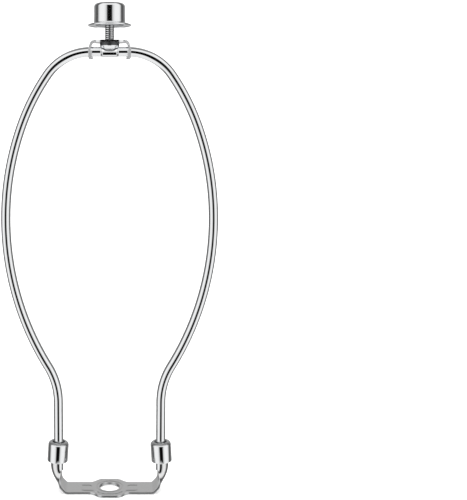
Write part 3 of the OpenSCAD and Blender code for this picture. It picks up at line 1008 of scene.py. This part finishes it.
def cap_profile(finial):
    """The drawn cap and its flared skirt, from the middle of its top outside to the middle inside."""
    r = finial.body_d / 2
    h = finial.height
    rim_r = finial.rim_r
    rim_x = finial.brim_d / 2 - rim_r
    inner_r = r - finial.wall
    small = finial.round_r - finial.wall
    flare = degrees(finial.flare_angle)
    steep = 90 - degrees(finial.skirt_angle)
    profile = [(0.0, h)]
    profile += arc(r - finial.round_r, h - finial.round_r, finial.round_r, 90, 0, 16)
    profile += arc(r + finial.flare_r, finial.flare_z, finial.flare_r, 180, 180 + flare, 12)
    x, z = profile[-1]
    bend_x = x + finial.neck_r * cos(finial.flare_angle)
    bend_z = z + finial.neck_r * sin(finial.flare_angle)
    profile += arc(bend_x, bend_z, finial.neck_r, 180 + flare, 180 + steep, 6)[1:]
    profile += arc(rim_x, rim_r, rim_r, steep, -170, 24)
    # Underneath, the skirt bends up into the cap's inside in two steps
    bend_w = 1.4 * finial.wall
    bend_low = 2.6 * rim_r
    bend_high = 5 * rim_r
    profile += [(inner_r + bend_w, bend_low), (inner_r, bend_high)]
    profile += arc(inner_r - small, h - finial.wall - small, small, 0, 90, 8)
    profile += [(0.0, h - finial.wall)]
    return profile


class HARP_OT_finial(bpy.types.Operator):
    """Draws the finial's cap and turns the threaded hub inside it"""
    bl_idname = "lamp_harp.finial"
    bl_label = "Finial"

    def execute(self, context):
        scene = context.scene
        finial = scene.harp_finial
        base_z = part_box("top_clip")[1].z + finial.gap
        profile = [(r, z + base_z) for r, z in cap_profile(finial)]
        materials = [chrome_on_drawn_steel(scene.harp_finishes)]
        shell = new_piece("finial_shell", lathe(profile, 160, closed=False), materials)
        finish_piece(shell, "finial_cap", "finial")
        hub_r = finial.body_d / 2 - finial.wall
        bore_r = scene.harp_stud.diameter / 2 + finial.bore_gap
        e = finial.hub_edge
        top_z = base_z + finial.hub_h
        profile = [
            (bore_r + e, base_z), (hub_r - e, base_z), (hub_r, base_z + e), (hub_r, top_z - e),
            (hub_r - e, top_z), (bore_r + e, top_z), (bore_r, top_z - e), (bore_r, base_z + e),
        ]
        bush = new_piece("finial_bush", lathe(profile, 96), [turned_steel(scene.harp_finishes)])
        finish_piece(bush, "finial_hub", "finial")
        return {"FINISHED"}


# The stage

def calculate(tree, operation, *values):
    """The result of a calculation."""
    return add_node(tree, "ShaderNodeMath", dict(enumerate(values)), operation=operation).outputs["Value"]


def ramp(tree, share, stops):
    """A grey that follows a share of half a turn, by stops of degrees and grey."""
    node = add_node(tree, "ShaderNodeValToRGB", {"Fac": share})
    elements = node.color_ramp.elements
    while len(elements) < len(stops):
        elements.new(1.0)
    for element, (at, grey) in zip(elements, stops):
        element.position = at / 180
        element.color = (grey, grey, grey, 1.0)
    return node.outputs["Color"]


def light_tent(world, strength):
    """A white light tent, as chrome shows it. What isn't shiny gets plain white light of the strength."""
    world.use_nodes = True
    tree = world.node_tree
    tree.nodes.clear()
    place = add_node(tree, "ShaderNodeTexCoord").outputs["Generated"]
    way = add_node(tree, "ShaderNodeSeparateXYZ", {"Vector": place})
    across = calculate(tree, "ABSOLUTE", way.outputs["X"])
    toward = calculate(tree, "MULTIPLY", way.outputs["Y"], -1.0)
    round_share = calculate(tree, "DIVIDE", calculate(tree, "ARCTAN2", across, toward), pi)
    up = calculate(tree, "ARCSINE", way.outputs["Z"])
    up_share = add_node(tree, "ShaderNodeMapRange", {
        "Value": up, "From Min": -pi / 2, "From Max": pi / 2,
    }).outputs["Result"]
    # Round the tent, in degrees from the front: white walls, a dark gap behind them, and a grey back
    walls = ramp(tree, round_share, [
        (0, 0.97), (70, 0.97), (80, 0.86), (90, 0.42), (97, 0.09), (113, 0.1), (127, 0.2), (146, 0.38),
        (165, 0.48),
    ])
    # The dark gap at the front that the camera looks through, round the tent and up it
    gap_round = ramp(tree, round_share, [
        (0, 0.0), (14.5, 0.01), (17, 0.1), (21, 0.5), (25, 0.7), (33, 0.87), (41, 1.0),
    ])
    gap_up = ramp(tree, up_share, [(54, 1.0), (59, 0.0), (107, 0.0), (114, 1.0)])
    gap = mix(tree, 1.0, gap_round, gap_up, "LIGHTEN")
    sides = mix(tree, 1.0, walls, gap, "MULTIPLY")
    # The white table under the tent and its grey roof, in degrees up from straight below
    cover = ramp(tree, up_share, [(40, 1.0), (48, 0.0), (149, 0.0), (158, 1.0)])
    table_and_roof = ramp(tree, up_share, [(60, 0.93), (120, 0.24)])
    tent = mix(tree, cover, sides, table_and_roof)
    inside = add_node(tree, "ShaderNodeBackground", {"Color": tent, "Strength": 1.0}).outputs[0]
    white = {"Color": (1.0, 1.0, 1.0, 1.0), "Strength": strength}
    plain = add_node(tree, "ShaderNodeBackground", white).outputs[0]
    glossy = add_node(tree, "ShaderNodeLightPath").outputs["Is Glossy Ray"]
    both = add_node(tree, "ShaderNodeMixShader", {"Fac": glossy, 1: plain, 2: inside})
    add_node(tree, "ShaderNodeOutputWorld", {"Surface": both.outputs["Shader"]})


class HARP_OT_stage(bpy.types.Operator):
    """Sets the camera, the light tent and the floor"""
    bl_idname = "lamp_harp.stage"
    bl_label = "Stage"

    def execute(self, context):
        scene = context.scene
        stage = scene.harp_stage
        camera = bpy.data.objects.new("camera", bpy.data.cameras.new("camera"))
        scene.collection.objects.link(camera)
        camera.location = (0, -stage.camera_y, stage.camera_z)
        camera.rotation_euler = (pi / 2 - stage.camera_down, 0, 0)
        camera.data.lens = stage.lens
        camera.data.shift_x = stage.shift_x
        camera.data.shift_y = stage.shift_y
        camera.data.clip_start = 0.01
        scene.camera = camera
        scene.view_settings.view_transform = "Standard"
        scene.world = bpy.data.worlds.new("light_tent")
        light_tent(scene.world, stage.light)
        half = stage.floor_half
        z = -stage.floor_drop
        corners = [(-half, -half, z), (half, -half, z), (half, half, z), (-half, half, z)]
        # Seamless white paper, matt, that gives the eye a plain pale ground
        paper = new_material("seamless_white_paper", scene.harp_finishes.floor, 0.0, 0.9)[0]
        floor = new_piece("floor", (corners, [(0, 1, 2, 3)]), [paper], merge=False)
        floor.visible_glossy = False
        return {"FINISHED"}


class HARP_PT_panel(bpy.types.Panel):
    """Lists the operators of the lamp harp"""
    bl_idname = "HARP_PT_panel"
    bl_label = "Lamp harp"
    bl_space_type = "VIEW_3D"
    bl_region_type = "UI"
    bl_category = "Lamp harp"

    def draw(self, context):
        for operator in OPERATORS:
            self.layout.operator(operator.bl_idname)


GROUPS = {
    "harp_wire": HarpWireSizes,
    "harp_saddle": HarpSaddleSizes,
    "harp_sleeve": HarpSleeveSizes,
    "harp_clip": HarpClipSizes,
    "harp_stud": HarpStudSizes,
    "harp_finial": HarpFinialSizes,
    "harp_finishes": HarpFinishes,
    "harp_stage": HarpStageSizes,
}
OPERATORS = [
    HARP_OT_stage, HARP_OT_wire, HARP_OT_saddle, HARP_OT_sleeves, HARP_OT_clip, HARP_OT_stud,
    HARP_OT_finial,
]


def register():
    for name, group in GROUPS.items():
        bpy.utils.register_class(group)
        setattr(bpy.types.Scene, name, PointerProperty(type=group))
    for operator in OPERATORS:
        bpy.utils.register_class(operator)
    bpy.utils.register_class(HARP_PT_panel)


def unregister():
    bpy.utils.unregister_class(HARP_PT_panel)
    for operator in reversed(OPERATORS):
        bpy.utils.unregister_class(operator)
    for name, group in reversed(GROUPS.items()):
        delattr(bpy.types.Scene, name)
        bpy.utils.unregister_class(group)


def main():
    register()
    bpy.ops.lamp_harp.stage()
    bpy.ops.lamp_harp.wire()
    bpy.ops.lamp_harp.saddle()
    bpy.ops.lamp_harp.sleeves()
    bpy.ops.lamp_harp.clip()
    bpy.ops.lamp_harp.stud()
    bpy.ops.lamp_harp.finial()


if __name__ == "__main__":
    main()
